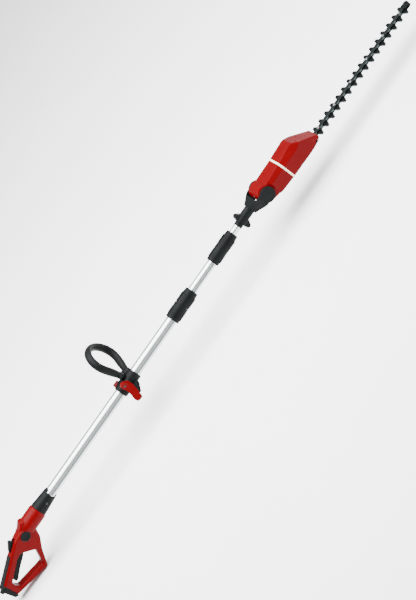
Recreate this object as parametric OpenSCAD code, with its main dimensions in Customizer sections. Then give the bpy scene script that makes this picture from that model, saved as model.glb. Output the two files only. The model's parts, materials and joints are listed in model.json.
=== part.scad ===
// Telescopic pole hedge trimmer.
// Every module is drawn in pole coordinates: X runs forward along the pole from the front
// end of the handle's black collar, Y is to the left and Z is up from the pole's axis.
// place() then puts the origin under the middle of the whole tool.

/* [Rear handle] */
// Rearmost face of the D-handle, behind the collar's front end
handle_back = 310; // [300:1:320]
// Width of the D-handle's bars
handle_w = 36; // [32:1:38]
// Radius of the round socket that takes the pole
socket_r = 27; // [26:0.5:28]
// Distance of the round caps behind the collar's front end
cap_back = 136.5; // [132:0.5:140]
// Radius of the round cap on the handle's side
cap_r = 15.5; // [12:0.5:18]
// Depth of the lowest corner of the D-handle below the pole's axis
handle_drop = 125; // [120:1:128]

/* [Pole] */
// Outer diameter of the rear tube
tube_1_d = 32; // [31:0.5:33]
// Outer diameter of the middle tube
tube_2_d = 27; // [26:0.5:28]
// Outer diameter of the front tube
tube_3_d = 22; // [21:0.5:22.5]
// Wall of each tube
tube_wall = 1.5; // [1.4:0.1:1.7]
// Length of rear tube seen between the collar and the first sleeve
tube_1_show = 606; // [560:1:640]
// Length of each twist-lock sleeve
sleeve_len = 101; // [96:1:104]
// Length of middle tube seen between the sleeves, at rest
tube_2_show = 99; // [80:1:120]
// Length of front tube seen ahead of the second sleeve, at rest
tube_3_show = 24; // [20:1:30]

/* [Loop handle] */
// Rear face of the loop handle's clamp
clamp_back_x = 352; // [340:1:360]
// Length of the clamp along the tube
clamp_len = 72; // [68:1:76]
// Thickness of the loop's bar in the loop's own plane
loop_bar_t = 19; // [17:0.5:20]
// Width of the loop's bar across that plane
loop_bar_w = 26; // [24:0.5:27]
// Radius of the loop's round top, to the middle of the bar
loop_r = 51; // [48:0.5:53]
// Turn of the loop about its own upright, left leg forward
loop_yaw = 30; // [20:1:35]
// Lean of the loop and its clamp to the left, about the pole
loop_lean = 36; // [30:1:38]

/* [Head] */
// Width of the motor head
head_w = 76; // [74:0.5:77]
// Distance from the fork's pivot to the head's nose
head_len = 222; // [215:1:228]
// Height of the head's top above the pivot
head_top = 30; // [28:1:32]
// Depth of the head's underside below the pivot
head_bottom = 41; // [40:0.5:42]
// Radius of the round ends of the fork's arms
arm_r = 24; // [22:0.5:24]

/* [Blade] */
// Length of blade ahead of the head's nose
blade_show = 463; // [420:1:480]
// Distance between two teeth
tooth_pitch = 28; // [26:0.5:30]
// Width of the blade across its tooth tips
blade_w = 60; // [56:1:64]
// Thickness of each blade
blade_t = 2; // [1.8:0.1:2.2]
// Radius of the hanging hole in the tip guard
tip_hole_r = 2.5; // [2:0.1:2.8]
// Throw of each eccentric
throw = 6.5; // [6:0.1:6.5]

/* [Hidden] */
$fn = 64;

// Places along the pole
sleeve_1_x = tube_1_show;
nut_1_x = sleeve_1_x + 49;
sleeve_1_end = sleeve_1_x + sleeve_len;
sleeve_2_x = sleeve_1_end + tube_2_show;
nut_2_x = sleeve_2_x + 49;
sleeve_2_end = sleeve_2_x + sleeve_len;
neck_x = sleeve_2_end + tube_3_show;
pivot_x = neck_x + 122;
ring_x = pivot_x + 88;
nose_x = pivot_x + head_len;
tip_x = nose_x + blade_show;
collar_len = 56;
mid_x = (tip_x - handle_back) / 2;
// The loop bulges further to the left than the lever does to the right
mid_y = 22;

// Radii of the pole
r1 = tube_1_d / 2;
r2 = tube_2_d / 2;
r3 = tube_3_d / 2;
run = 0.05;

// The D-handle's side view
grip_slope = 24;
function grip_z(x) = -3 + (x + 200) * tan(grip_slope);

// Gears and blades
crown_x = pivot_x + 150;
crown_teeth = 36;
pinion_teeth = 9;
gear_module = 1.2;
crown_mesh_r = crown_teeth * gear_module / 2;
motor_z = -6;
pinion_out_r = 6.4;
eccentric_r = 9;
upper_z = -36.5;
lower_z = upper_z - blade_t - 0.3;
bar_z = upper_z + blade_t + 0.3;
base_z = -head_bottom + 0.2;
blade_back_x = crown_x - 30;
blade_end_x = tip_x - 18;
tooth_count = floor((blade_end_x - nose_x - 23.5) / tooth_pitch) + 1;
guide_screw_step = 80;
guide_screw_count = 6;

// ---------------------------------------------------------------- helpers

// Puts the pole's coordinates in the tool's frame
module place() {
    translate([-mid_x, -mid_y, handle_drop]) children();
}

// Cylinder along X from x0 to x1
module rod_x(x0, x1, r, r_end = -1) {
    translate([x0, 0, 0]) rotate([0, 90, 0])
        cylinder(h = x1 - x0, r1 = r, r2 = r_end < 0 ? r : r_end);
}

// Cylinder along Y from y0 to y1, centred on x, z
module rod_y(x, z, y0, y1, r) {
    translate([x, y1, z]) rotate([90, 0, 0]) cylinder(h = y1 - y0, r = r);
}

// Tube along X
module tube_x(x0, x1, r_out, r_in) {
    difference() {
        rod_x(x0, x1, r_out);
        rod_x(x0 - 1, x1 + 1, r_in);
    }
}

// Block between two corners
module block(lo, hi) {
    translate(lo) cube(hi - lo);
}

// A side view, drawn in X and Z, made y0 to y1 thick
module side_slab(y0, y1) {
    translate([0, y1, 0]) rotate([90, 0, 0]) linear_extrude(y1 - y0) children();
}

// Points of a closed outline with its corners rounded: each entry is [x, y, radius]
function unit2(v) = v / norm(v);
function corner(p, q, r, steps) =
    let (
        a = unit2([p[0] - q[0], p[1] - q[1]]),
        b = unit2([r[0] - q[0], r[1] - q[1]]),
        half = acos(a * b) / 2,
        reach = q[2] / tan(half),
        c = [q[0], q[1]] + unit2(a + b) * q[2] / sin(half),
        s = [q[0], q[1]] + a * reach - c,
        e = [q[0], q[1]] + b * reach - c,
        turn = s[0] * e[1] - s[1] * e[0] > 0 ? 180 - 2 * half : -(180 - 2 * half),
        from = atan2(s[1], s[0])
    )
    q[2] == 0 ? [[q[0], q[1]]]
        : [for (i = [0 : steps]) c + q[2] * [cos(from + turn * i / steps), sin(from + turn * i / steps)]];
function rounded(pts, steps = 5) =
    let (n = len(pts))
    [for (i = [0 : n - 1]) each corner(pts[(i + n - 1) % n], pts[i], pts[(i + 1) % n], steps)];

// Faces of a tube with closed ends, swept through rings of points
function tube_faces(rings, sides) = concat(
    [[for (k = [sides - 1 : -1 : 0]) k]],
    [[for (k = [0 : sides - 1]) rings * sides + k]],
    [for (i = [0 : rings - 1]) for (k = [0 : sides - 1])
        [i * sides + k, i * sides + (k + 1) % sides, (i + 1) * sides + (k + 1) % sides, (i + 1) * sides + k]]
);

// Coil spring along Z from z0 to z1: wire radius w, coil radius r
coil_steps = 12;
coil_sides = 6;
function coil_point(z0, z1, r, w, rings, i, k) =
    let (a = 360 * i / coil_steps, q = 360 * k / coil_sides, rr = r + w * cos(q))
    [rr * cos(a), rr * sin(a), z0 + w + (z1 - z0 - 2 * w) * i / rings + w * sin(q)];
module coil(z0, z1, r, w, turns) {
    rings = turns * coil_steps;
    sides = coil_sides;
    polyhedron(
        points = [for (i = [0 : rings]) for (k = [0 : sides - 1]) coil_point(z0, z1, r, w, rings, i, k)],
        faces = tube_faces(rings, sides)
    );
}

// ---------------------------------------------------------------- rear handle

module handle_outline() {
    polygon(rounded([
        [-104, 26, 0], [-113, 31, 4], [-136, 16, 14], [-170, 9.5, 40], [-205, grip_z(-205), 20],
        [-296, grip_z(-296), 8], [-292, -99, 8], [-177, -handle_drop, 10],
        [-142, -76, 20], [-116, -49, 14], [-104, -26, 0]
    ]));
}

module handle_opening() {
    polygon(rounded([
        [-155, -61, 6], [-180, -36, 4], [-187, -28, 4], [-208, -31.5, 14], [-262, -57, 8],
        [-272, -62, 4], [-273, -78, 5], [-267, -90, 6], [-177, -105, 8]
    ]));
}

// Whole red handle before it is split into its two shells
module handle_solid() {
    difference() {
        union() {
            side_slab(-handle_w / 2, handle_w / 2) handle_outline();
            rod_x(-112, -collar_len, socket_r);
            rod_x(-132, -112, 19, socket_r);
            rod_y(-cap_back, -5, -20.5, 20.5, 18.5);
            rod_y(-156, -38, -handle_w / 2 - 0.8, -10, 4.5);
        }
        side_slab(-40, 40) handle_opening();
        // Bore for the pole, and the hollow behind it for the leads
        rod_x(-127, -collar_len + 1, r1 + run);
        translate([0, 0, -3]) rod_x(-168, -126, 9);
        translate([0, 0, -53]) rod_x(-290, -262, 3.7);
        // Hollow of the grip, open below for the trigger
        side_slab(-9, 9) polygon([
            [-156, 2], [-166, -22], [-181.5, -24], [-181.5, -42], [-262, -80], [-266, -60],
            [-266, -43], [-205, -13], [-180, -2]
        ]);
        // Slot for the lock-off button
        side_slab(-6.3, 6.3) polygon([[-203, -14], [-203, 4], [-162, 24], [-162, 2]]);
        // Holes of the screw that holds the pole, and pockets of the round caps
        rod_y(pole_bolt_x, 0, -23, 30, 2.6);
        rod_y(pole_bolt_x, 0, 22, 30, 5);
        for (side = [-1, 1]) rod_y(-cap_back, -5, side > 0 ? 17 : -30, side > 0 ? 30 : -17, cap_r + 0.1);
        for (p = handle_screw_places) rod_y(p[0], p[1], handle_w / 2 - 3, 30, 3.6);
        for (p = handle_screw_places) rod_y(p[0], p[1], -handle_w / 2 + 6, 30, 1.8);
        // Recess for the soft grip
        side_slab(-13.6, 13.6) grip_recess();
    }
    // Moulded pivot of the trigger
    rod_y(trigger_pin[0], trigger_pin[1], -9.5, 9.5, 1.55);
}

handle_screw_places = [[-156, -38], [-156.5, -83], [-190, -112], [-280, -91], [-283.5, -70]];
pole_bolt_x = -112;

module grip_recess() {
    polygon([
        [-212, grip_z(-212) + 3], [-212, grip_z(-212) - 3], [-300, grip_z(-300) - 3], [-300, grip_z(-300) + 3]
    ]);
}

module half_space(side) {
    translate([-400, side < 0 ? -100 : 0, -200]) cube([400, 100, 300]);
}

module handle_shell_right() {
    color("red") intersection() {
        handle_solid();
        half_space(-1);
    }
}

module handle_shell_left() {
    color("red") intersection() {
        handle_solid();
        half_space(1);
    }
}

module soft_grip() {
    color([0.12, 0.13, 0.13]) difference() {
        side_slab(-13.5, 13.5) polygon(rounded([
            [-212, grip_z(-212) - 3, 0], [-212, grip_z(-212) + 1.5, 2],
            [-296.3, grip_z(-296.3) + 1.5, 3], [-296.3, grip_z(-296.3) - 3, 0]
        ]));
        side_slab(-handle_w, handle_w) polygon([
            [-204, -60], [-320, -120], [-320, grip_z(-320) - 3], [-204, grip_z(-204) - 3]
        ]);
    }
}

module end_cap() {
    color([0.1, 0.1, 0.1]) difference() {
        side_slab(-handle_w / 2 - 0.5, handle_w / 2 + 0.5) polygon(rounded([
            [-296.5, grip_z(-296), 2], [-handle_back, -52, 6], [-303, -97, 6], [-292, -103, 2],
            [-292.5, -97, 0]
        ]));
        side_slab(-handle_w, handle_w) handle_outline();
        translate([-290, 0, -57]) rotate([0, -96, 0]) cylinder(h = 40, r = 7.5);
    }
}

module inlet_gland() {
    color([0.1, 0.1, 0.1]) translate([-290, 0, -57]) rotate([0, -96, 0]) difference() {
        union() {
            translate([0, 0, 6.5]) cylinder(h = 15, r = 7.45);
            translate([0, 0, 21.5]) cylinder(h = 5, r1 = 7.45, r2 = 6);
        }
        translate([0, 0, 4]) cylinder(h = 30, r = 3.6);
    }
}

module pole_bolt() {
    color("silver") {
        rod_y(pole_bolt_x, 0, -22, 22, 2.5);
        rod_y(pole_bolt_x, 0, 22, 25, 4.8);
    }
}

module round_caps() {
    color([0.08, 0.08, 0.09]) for (side = [-1, 1])
        mirror([0, side < 0 ? 0 : 1, 0]) difference() {
            rod_y(-cap_back, -5, -22, -17, cap_r);
            translate([-cap_back, -57.5, -5]) sphere(r = 37);
        }
}

module handle_screws() {
    color("silver") for (p = handle_screw_places) {
        rod_y(p[0], p[1], handle_w / 2 - 3, handle_w / 2 - 0.8, 3.4);
        rod_y(p[0], p[1], -handle_w / 2 + 7, handle_w / 2 - 3, 1.7);
    }
}

trigger_pin = [-188, -22.5];

module trigger() {
    color([0.08, 0.08, 0.09]) difference() {
        side_slab(-7.5, 7.5) polygon(rounded([
            [-184, -17, 3], [-183, -39, 3], [-200, -47, 20], [-220, -55, 30], [-256, -74, 4],
            [-263, -72, 3], [-262, -53, 3], [-225, -33, 10], [-196, -18, 4]
        ]));
        rod_y(trigger_pin[0], trigger_pin[1], -10, 10, 1.6);
    }
}

module trigger_spring() {
    color("silver") translate([-244, 0, -40.9]) coil(0, 6.6, 3.2, 0.5, 4);
}

module lock_off_button() {
    color([0.06, 0.06, 0.07]) side_slab(-6, 6) polygon(rounded([
        [-201.5, 2, 2], [-179, 21, 3], [-175, 20, 2], [-170.5, 11.5, 1], [-170.5, 1, 0], [-201.5, -12, 0]
    ]));
}

module lock_off_spring() {
    color("silver") translate([-172, 0, -10]) coil(0, 9, 2.4, 0.4, 4);
}

module switch() {
    color([0.15, 0.15, 0.17]) side_slab(-7, 7)
        polygon([[-167, -10.4], [-168, -21.5], [-180, -22.5], [-180, -10.4]]);
}

module front_collar() {
    color([0.13, 0.14, 0.15]) difference() {
        union() {
            rod_x(-collar_len + 0.2, 0, 24.5, 20);
            // Prongs above and below the tube
            intersection() {
                rod_x(-1, 10, 19.9, 18.4);
                for (side = [-1, 1]) translate([-2, -9, side > 0 ? 12 : -22]) cube([20, 18, 10]);
            }
        }
        rod_x(-collar_len - 1, 12, r1 + run);
        // Recess of the clamping screw
        rod_y(-26, 0, -40, -19.5, 4);
        rod_y(-26, 0, -40, -10, 1.8);
        // Scoops at the sides of the front edge
        for (side = [-1, 1]) translate([14, side * 24, 0]) cylinder(h = 60, r = 17, center = true);
    }
}

module collar_screw() {
    color("silver") {
        rod_y(-26, 0, -21.2, -19.5, 3.6);
        rod_y(-26, 0, -19.5, -r1 - 0.4, 1.7);
    }
}

// ---------------------------------------------------------------- pole

// Shallow groove along both sides of a tube
module side_grooves(x0, x1, r) {
    for (side = [-1, 1]) block([x0, side * r - 0.9, -3.4], [x1, side * r + 0.9, 3.4]);
}

module rear_tube() {
    color([0.85, 0.87, 0.87]) difference() {
        tube_x(-126, sleeve_1_x + 44, r1, r1 - tube_wall);
        side_grooves(1, sleeve_1_x - 1, r1);
        rod_y(pole_bolt_x, 0, -40, 40, 2.7);
    }
}

module coiled_lead() {
    color([0.1, 0.1, 0.1]) tube_x(-100, sleeve_1_x + 24, 7.5, 4.5);
}

module middle_tube() {
    color([0.85, 0.87, 0.87]) difference() {
        tube_x(tube_1_show - 300, sleeve_2_x + 44, r2, r2 - tube_wall);
        side_grooves(tube_1_show - 240, sleeve_2_x - 1, r2);
    }
}

module middle_tube_plug() {
    color([0.2, 0.2, 0.2]) difference() {
        tube_x(tube_1_show - 330, tube_1_show - 270, r1 - tube_wall - run, r2 - tube_wall - 1);
        rod_x(tube_1_show - 300, tube_1_show - 200, r2);
    }
}

module front_tube() {
    color([0.85, 0.87, 0.87]) tube_x(sleeve_2_x - 220, neck_x + 9, r3, r3 - tube_wall);
}

module front_tube_plug() {
    color([0.2, 0.2, 0.2]) difference() {
        tube_x(sleeve_2_x - 250, sleeve_2_x - 190, r2 - tube_wall - run, r3 - tube_wall - 1);
        rod_x(sleeve_2_x - 220, sleeve_2_x - 150, r3);
    }
}

// Fixed rear half of a twist-lock: clamps the outer tube, carries the collet and the nut's thread
module sleeve_base(x, r_tube, r_mid) {
    color([0.09, 0.09, 0.1]) difference() {
        union() {
            rod_x(x, x + 5, r_mid - 2, r_mid - 1);
            rod_x(x + 5, x + 40, r_mid - 1, r_mid);
            rod_x(x + 40, x + 48.6, r_mid);
            rod_x(x + 48, x + 62, r_mid - 5);
            for (a = [0 : 30 : 330]) rotate([a, 0, 0])
                block([x + 10, -1.2, r_mid - 3], [x + 36, 1.2, r_mid + 0.4]);
        }
        rod_x(x - 1, x + 44, r_tube);
        rod_x(x + 40, x + 80, r_tube - tube_wall - 0.6);
    }
}

// Split ring that grips the inner tube
module sleeve_collet(x, r_tube, r_out) {
    color([0.8, 0.8, 0.78]) difference() {
        union() {
            rod_x(x + 62.2, x + 74, r_out);
            rod_x(x + 74, x + 84, r_out, r_out - 2);
        }
        rod_x(x + 50, x + 90, r_tube + run);
        for (a = [0 : 60 : 300]) rotate([a, 0, 0]) block([x + 66, -0.8, 0], [x + 90, 0.8, r_out + 2]);
    }
}

// Turning front half of a twist-lock
module sleeve_nut(x, r_tube, r_mid, r_thread) {
    color([0.09, 0.09, 0.1]) difference() {
        union() {
            rod_x(x, x + 30, r_mid, r_mid - 0.8);
            rod_x(x + 30, x + sleeve_len - 49, r_mid - 0.8, r_mid - 3);
            for (a = [0 : 30 : 330]) rotate([a, 0, 0])
                block([x + 6, -1.2, r_mid - 3], [x + 36, 1.2, r_mid + 0.4]);
        }
        rod_x(x - 1, x + 13.4, r_thread + run);
        rod_x(x + 13, x + 36, r_thread);
        rod_x(x + 30, x + 80, r_tube + 0.3);
    }
}

module sleeve_1_base() { sleeve_base(sleeve_1_x, r1, 22.3); }
module sleeve_1_collet() { sleeve_collet(sleeve_1_x, r2, 16.6); }
module sleeve_1_nut() { sleeve_nut(nut_1_x, r2, 22.3, 17.3); }
module sleeve_2_base() { sleeve_base(sleeve_2_x, r2, 20.5); }
module sleeve_2_collet() { sleeve_collet(sleeve_2_x, r3, 14.8); }
module sleeve_2_nut() { sleeve_nut(nut_2_x, r3, 20.5, 15.5); }

// ---------------------------------------------------------------- loop handle

loop_seat_z = 24;
loop_x = clamp_back_x + 50.5;
// Middle of the cam lever's eye, on the clamp's bolt above the tube
lever_pin = [clamp_back_x + 24, -24, 20.5];

// The loop's own upright frame: leaned to the left about the pole, then turned
module loop_frame() {
    rotate([-loop_lean, 0, 0]) translate([loop_x, 0, loop_seat_z]) rotate([0, 0, -loop_yaw]) children();
}

module clamp_body() {
    color([0.07, 0.07, 0.08]) difference() {
        union() {
            rod_x(clamp_back_x, clamp_back_x + 19, 20.5, 22);
            rod_x(clamp_back_x + 19, clamp_back_x + 50, 20);
            rod_x(clamp_back_x + 50, clamp_back_x + clamp_len, 22, 20.5);
            // Seat and knuckle of the loop
            loop_frame() block([-11, -12.3, -20], [11, 12.3, 0]);
            loop_frame() rod_y(0, 0, -12.3, 12.3, 9.8);
            // Block of the clamp's bolt
            block([lever_pin[0] - 9, -23, 6], [lever_pin[0] + 8.5, 2, 25.5]);
            // Web that hangs under the right-hand side
            side_slab(-27, -8) polygon(rounded([
                [clamp_back_x + 31, -5, 0], [clamp_back_x + 58, -2, 3], [clamp_back_x + 57, -14, 5],
                [clamp_back_x + 38, -37, 4], [clamp_back_x + 30, -37, 3]
            ]));
        }
        rod_x(clamp_back_x - 1, clamp_back_x + clamp_len + 10, r1 + run);
        loop_frame() rod_y(0, 0, -50, 50, 4.05);
        // Room for the loop's two feet
        loop_frame() for (side = [-1, 1]) rod_y(0, 0, side > 0 ? 12.3 : -26.5, side > 0 ? 26.5 : -12.3, 11);
        rod_y(lever_pin[0], lever_pin[2], -40, 40, 3.05);
        rod_y(lever_pin[0], lever_pin[2], 2, 7, 4.35);
        // Place of the jaw at the upper left
        rotate([-50, 0, 0]) block([clamp_back_x + 3, -10, 17.5], [clamp_back_x + 23, 10, 40]);
    }
}

module clamp_jaw() {
    color("red") rotate([-50, 0, 0]) intersection() {
        difference() {
            rod_x(clamp_back_x + 3.2, clamp_back_x + 22.8, 30);
            rod_x(clamp_back_x, clamp_back_x + 40, 17.6);
        }
        block([clamp_back_x + 3.2, -9.8, 17.6], [clamp_back_x + 22.8, 9.8, 32]);
    }
}

module clamp_bolt() {
    color("silver") {
        rod_y(lever_pin[0], lever_pin[2], -37, 5.5, 3);
        rod_y(lever_pin[0], lever_pin[2], 2.1, 5.5, 4.2);
    }
}

// Cam lever on the bolt's right-hand end, hanging down and outwards
module clamp_lever() {
    color("red") translate([lever_pin[0], -24, lever_pin[2]]) difference() {
        union() {
            rotate([90, 0, 0]) cylinder(h = 12, r = 10.5);
            rotate([-16, 0, 0]) rotate([90, 0, 0]) linear_extrude(10) polygon(rounded([
                [-9, 5, 0], [-7, -20, 25], [-15, -50, 10], [-13, -62, 7], [5, -64, 7], [11, -46, 14],
                [18, -20, 12], [18, -3, 9], [9, 6, 0]
            ]));
        }
        rotate([90, 0, 0]) cylinder(h = 80, r = 3.05, center = true);
        block([-30, 0, -90], [30, 20, 20]);
    }
}

// The loop's middle line in its own plane, from the right foot over the round top to the left
loop_foot_y = 20;
loop_centre_z = 70;
loop_path = concat(
    [for (t = [0 : 0.25 : 0.75]) [-loop_foot_y, 3] * (1 - t)
        + [-loop_r * cos(30), loop_centre_z - loop_r * sin(30)] * t],
    [for (a = [210 : -12 : -30]) [loop_r * cos(a), loop_centre_z + loop_r * sin(a)]],
    [for (t = [0.25 : 0.25 : 1]) [loop_foot_y, 3] * t
        + [loop_r * cos(30), loop_centre_z - loop_r * sin(30)] * (1 - t)]
);
loop_sides = 14;
function loop_mid(i) = [0, loop_path[i][0], loop_path[i][1]];
function loop_normal(i) =
    let (d = loop_mid(min(len(loop_path) - 1, i + 1)) - loop_mid(max(0, i - 1)), t = d / norm(d))
    [0, -t[2], t[1]];
// Half the bar's width, less at the feet
function loop_half_w(i) = 9.8 + (loop_bar_w / 2 - 9.8) * min(1, (loop_path[i][1] - 3) / 25);
function loop_ring(i) = [for (k = [0 : loop_sides - 1]) loop_mid(i)
    + loop_half_w(i) * cos(360 * k / loop_sides) * [1, 0, 0]
    + loop_bar_t / 2 * sin(360 * k / loop_sides) * loop_normal(i)];

module loop_handle() {
    rings = len(loop_path) - 1;
    color([0.09, 0.1, 0.1]) loop_frame() difference() {
        union() {
            polyhedron(
                points = [for (i = [0 : rings]) each loop_ring(i)],
                faces = tube_faces(rings, loop_sides)
            );
            for (side = [-1, 1]) rod_y(0, 0, side > 0 ? 12.6 : -26, side > 0 ? 26 : -12.6, 9.8);
        }
        block([-20, -12.6, -20], [20, 12.6, 20]);
        for (side = [-1, 1]) block([-20, side > 0 ? 26 : -50, -30], [20, side > 0 ? 50 : -26, 11]);
        rod_y(0, 0, -40, 40, 4.05);
    }
}

module loop_bolt() {
    color("silver") loop_frame() {
        rod_y(0, 0, -27, 27, 4);
        for (side = [-1, 1]) rod_y(0, 0, side > 0 ? 26.2 : -29, side > 0 ? 29 : -26.2, 7);
    }
}

// ---------------------------------------------------------------- neck, latch and fork

latch_x = neck_x + 22;

module neck() {
    color([0.09, 0.09, 0.1]) difference() {
        union() {
            rod_x(neck_x + 0.2, neck_x + 34, 13);
            rod_x(neck_x + 34, neck_x + 61, 15.5);
            rod_x(neck_x + 61, neck_x + 76, 12);
            rod_x(neck_x + 72, neck_x + 76, 13.5);
        }
        rod_x(neck_x - 1, neck_x + 12, r3);
        rod_x(neck_x + 10, neck_x + 40, 3.8);
        rod_x(neck_x + 36, neck_x + 80, 6.2);
        // Slot of the latch's cross pin
        block([latch_x - 13, -2.3, -20], [latch_x + 2.6, 2.3, 20]);
    }
}

module head_lead() {
    color([0.1, 0.1, 0.1]) rod_x(sleeve_1_x - 30, neck_x + 6, 2.8);
}

module release_collar() {
    color([0.06, 0.06, 0.07]) difference() {
        union() {
            rod_x(latch_x - 10, latch_x + 11.7, 17, 18);
            side_slab(-9, 9) polygon(rounded([
                [latch_x - 10, 14, 0], [latch_x - 8, 24, 2], [latch_x - 2, 29, 3], [latch_x + 4, 27, 3],
                [latch_x + 11.7, 15, 0], [latch_x + 11.7, -15, 0], [latch_x + 4, -29, 3],
                [latch_x - 2, -31, 3], [latch_x - 8, -26, 2], [latch_x - 10, -14, 0]
            ]));
        }
        rod_x(neck_x, neck_x + 40, 13.3);
        translate([latch_x, 0, -16.5]) cylinder(h = 33, r = 2);
    }
}

module latch_plunger() {
    color("silver") {
        rod_x(latch_x - 5, neck_x + 62, 3.5);
        rod_x(neck_x + 60, neck_x + 62, 5.8);
        rod_x(neck_x + 61, pivot_x - 28.6, 2);
        translate([latch_x, 0, -16.5]) cylinder(h = 33, r = 2);
    }
}

module latch_spring() {
    color("silver") translate([neck_x + 36.2, 0, 0]) rotate([0, 90, 0]) coil(0, 23.6, 4.9, 0.55, 7);
}

arm_in = 33;
arm_out = 40.3;
fork_face = pivot_x - 33;

module fork_solid() {
    difference() {
        union() {
            // Body of the fork, flaring to the arms
            intersection() {
                linear_extrude(60, center = true) polygon([
                    [neck_x + 61, -15.5], [neck_x + 70, -18], [neck_x + 90, -35], [neck_x + 99, -arm_out],
                    [pivot_x + 1, -arm_out], [pivot_x + 1, arm_out], [neck_x + 99, arm_out],
                    [neck_x + 90, 35], [neck_x + 70, 18], [neck_x + 61, 15.5]
                ]);
                side_slab(-50, 50) polygon([
                    [neck_x + 61, 14.5], [neck_x + 71, 17], [neck_x + 90, 18], [pivot_x, 18],
                    [pivot_x, -18], [neck_x + 90, -18], [neck_x + 71, -17], [neck_x + 61, -14.5]
                ]);
            }
            for (side = [-1, 1])
                rod_y(pivot_x, 0, side > 0 ? arm_in : -arm_out, side > 0 ? arm_out : -arm_in, arm_r);
        }
        block([fork_face, -arm_in, -30], [pivot_x + 30, arm_in, 30]);
        rod_x(neck_x + 60, neck_x + 72, 12);
        rod_x(neck_x + 72, neck_x + 76, 13.5);
        rod_x(neck_x + 76, fork_face + 1, 4);
        rod_y(pivot_x, 0, -38.5, 38.5, 5);
        for (p = fork_screw_places) rod_y(p[0], p[1], 14, 60, 3.4);
        for (p = fork_screw_places) rod_y(p[0], p[1], -12, 60, 1.6);
    }
}

fork_screw_places = [[neck_x + 82, 11], [neck_x + 82, -11]];

module fork_right() {
    color([0.07, 0.07, 0.08]) intersection() {
        fork_solid();
        block([neck_x, -60, -40], [pivot_x + 40, 0, 40]);
    }
}

module fork_left() {
    color([0.07, 0.07, 0.08]) intersection() {
        fork_solid();
        block([neck_x, 0, -40], [pivot_x + 40, 60, 40]);
    }
}

module fork_screws() {
    color("silver") for (p = fork_screw_places) {
        rod_y(p[0], p[1], 14, 17, 3.3);
        rod_y(p[0], p[1], -11, 14, 1.5);
    }
}

module pivot_pin() {
    color("silver") rod_y(pivot_x, 0, -38.4, 38.4, 4.95);
}

// ---------------------------------------------------------------- head

function head_side(i) = [
    [pivot_x - 20, 18 - i], [pivot_x + 4, 21 - i], [ring_x, 24 - i], [pivot_x + 146, head_top - i],
    [pivot_x + 156, head_top - 2 - i], [nose_x - 19 - 0.9 * i, -10 - i * 0.5], [nose_x - 8 - i, -19],
    [nose_x - i, -25], [nose_x - i, -34], [nose_x - 12, -head_bottom + i], [ring_x, -40 + i],
    [pivot_x + 26, -34 + i], [pivot_x - 4, -27.5 + i]
];

function head_plan(i) = [
    [pivot_x - 30 + i, 32.3 - i], [pivot_x + 24, 32.3 - i], [pivot_x + 34, head_w / 2 - i],
    [pivot_x + 150, head_w / 2 - i], [pivot_x + 196, 31 - i], [nose_x, 27 - i]
];

function head_section(i) = [
    [-head_w / 2 + i, -34], [-head_w / 2 + 6 + i * 0.4, -head_bottom - 1 + i * 0.4],
    [head_w / 2 - 6 - i * 0.4, -head_bottom - 1 + i * 0.4],
    [head_w / 2 - i, -34], [head_w / 2 - i, 8], [24 - i * 0.4, head_top + 1], [-24 + i * 0.4, head_top + 1],
    [-head_w / 2 + i, 8]
];

function mirrored(pts) = concat(pts, [for (i = [len(pts) - 1 : -1 : 0]) [pts[i][0], -pts[i][1]]]);

// Outer form of the head, or the same form drawn in by i
module head_form(i) {
    intersection() {
        union() {
            side_slab(-head_w, head_w) polygon(head_side(i));
            rod_y(pivot_x, 0, -head_w, head_w, 28 - i);
        }
        translate([0, 0, -60]) linear_extrude(120) polygon(mirrored(head_plan(i)));
        translate([pivot_x - 40, 0, 0]) rotate([90, 0, 90]) linear_extrude(head_len + 60)
            polygon(head_section(i));
    }
}

module ring_slab(half) {
    block([ring_x - half, -60, -60], [ring_x + half, 60, 60]);
}

base_back = crown_x - 38;
base_half = 30;
leg_in = 25.2;
// Screws of the head: place in X and Z, and how far to the left each one's head is seated
head_screw_places = [
    [pivot_x + 29, 8, 30], [pivot_x + 118, 6, 35], [pivot_x + 170, 5, 31.5], [nose_x - 16, -20, 26.5]
];

module head_solid() {
    difference() {
        union() {
            difference() {
                head_form(0);
                head_form(3);
                ring_groove();
            }
            intersection() {
                head_form(0);
                rod_y(pivot_x, 0, -32.3, 32.3, 9);
            }
            intersection() {
                head_form(1);
                for (p = head_screw_places) rod_y(p[0], p[1], -head_w / 2, head_w / 2, 4.4);
            }
        }
        // Round ends and arms of the fork
        for (side = [-1, 1]) rod_y(pivot_x, 0, side > 0 ? 32.3 : -50, side > 0 ? 50 : -32.3, arm_r + 1.2);
        rod_y(pivot_x, 0, -50, 50, 4.95 + run);
        // Slot of the tilt sector, open to the rear and below
        side_slab(-3.6, 3.6) polygon([
            [pivot_x - 45, 13.5], [pivot_x - 24, 13.5], [pivot_x - 12, 11], [pivot_x + 12, 11],
            [pivot_x + 12, -45], [pivot_x - 45, -45]
        ]);
        // Opening of the gear base, and the blade's way out
        block([base_back - 0.2, -base_half - 0.2, -50], [nose_x - 10, base_half + 0.2, -34]);
        block([nose_x - 30, -13, -50], [nose_x + 5, 13, -30.5]);
        block([nose_x - 11, -21, -50], [nose_x + 5, 21, -34]);
        for (p = head_screw_places) rod_y(p[0], p[1], p[2], 60, 3.4);
        for (p = head_screw_places) rod_y(p[0], p[1], -20, 60, 1.6);
    }
}

module ring_groove() {
    difference() {
        intersection() {
            ring_slab(3);
            head_form(-2);
        }
        head_form(1.6);
    }
}

module head_half(side) {
    block([pivot_x - 60, side < 0 ? -60 : 0, -60], [nose_x + 10, side < 0 ? 0 : 60, 60]);
}

module head_shell_right() {
    color("red") intersection() {
        head_solid();
        head_half(-1);
    }
}

module head_shell_left() {
    color("red") intersection() {
        head_solid();
        head_half(1);
    }
}

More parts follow.
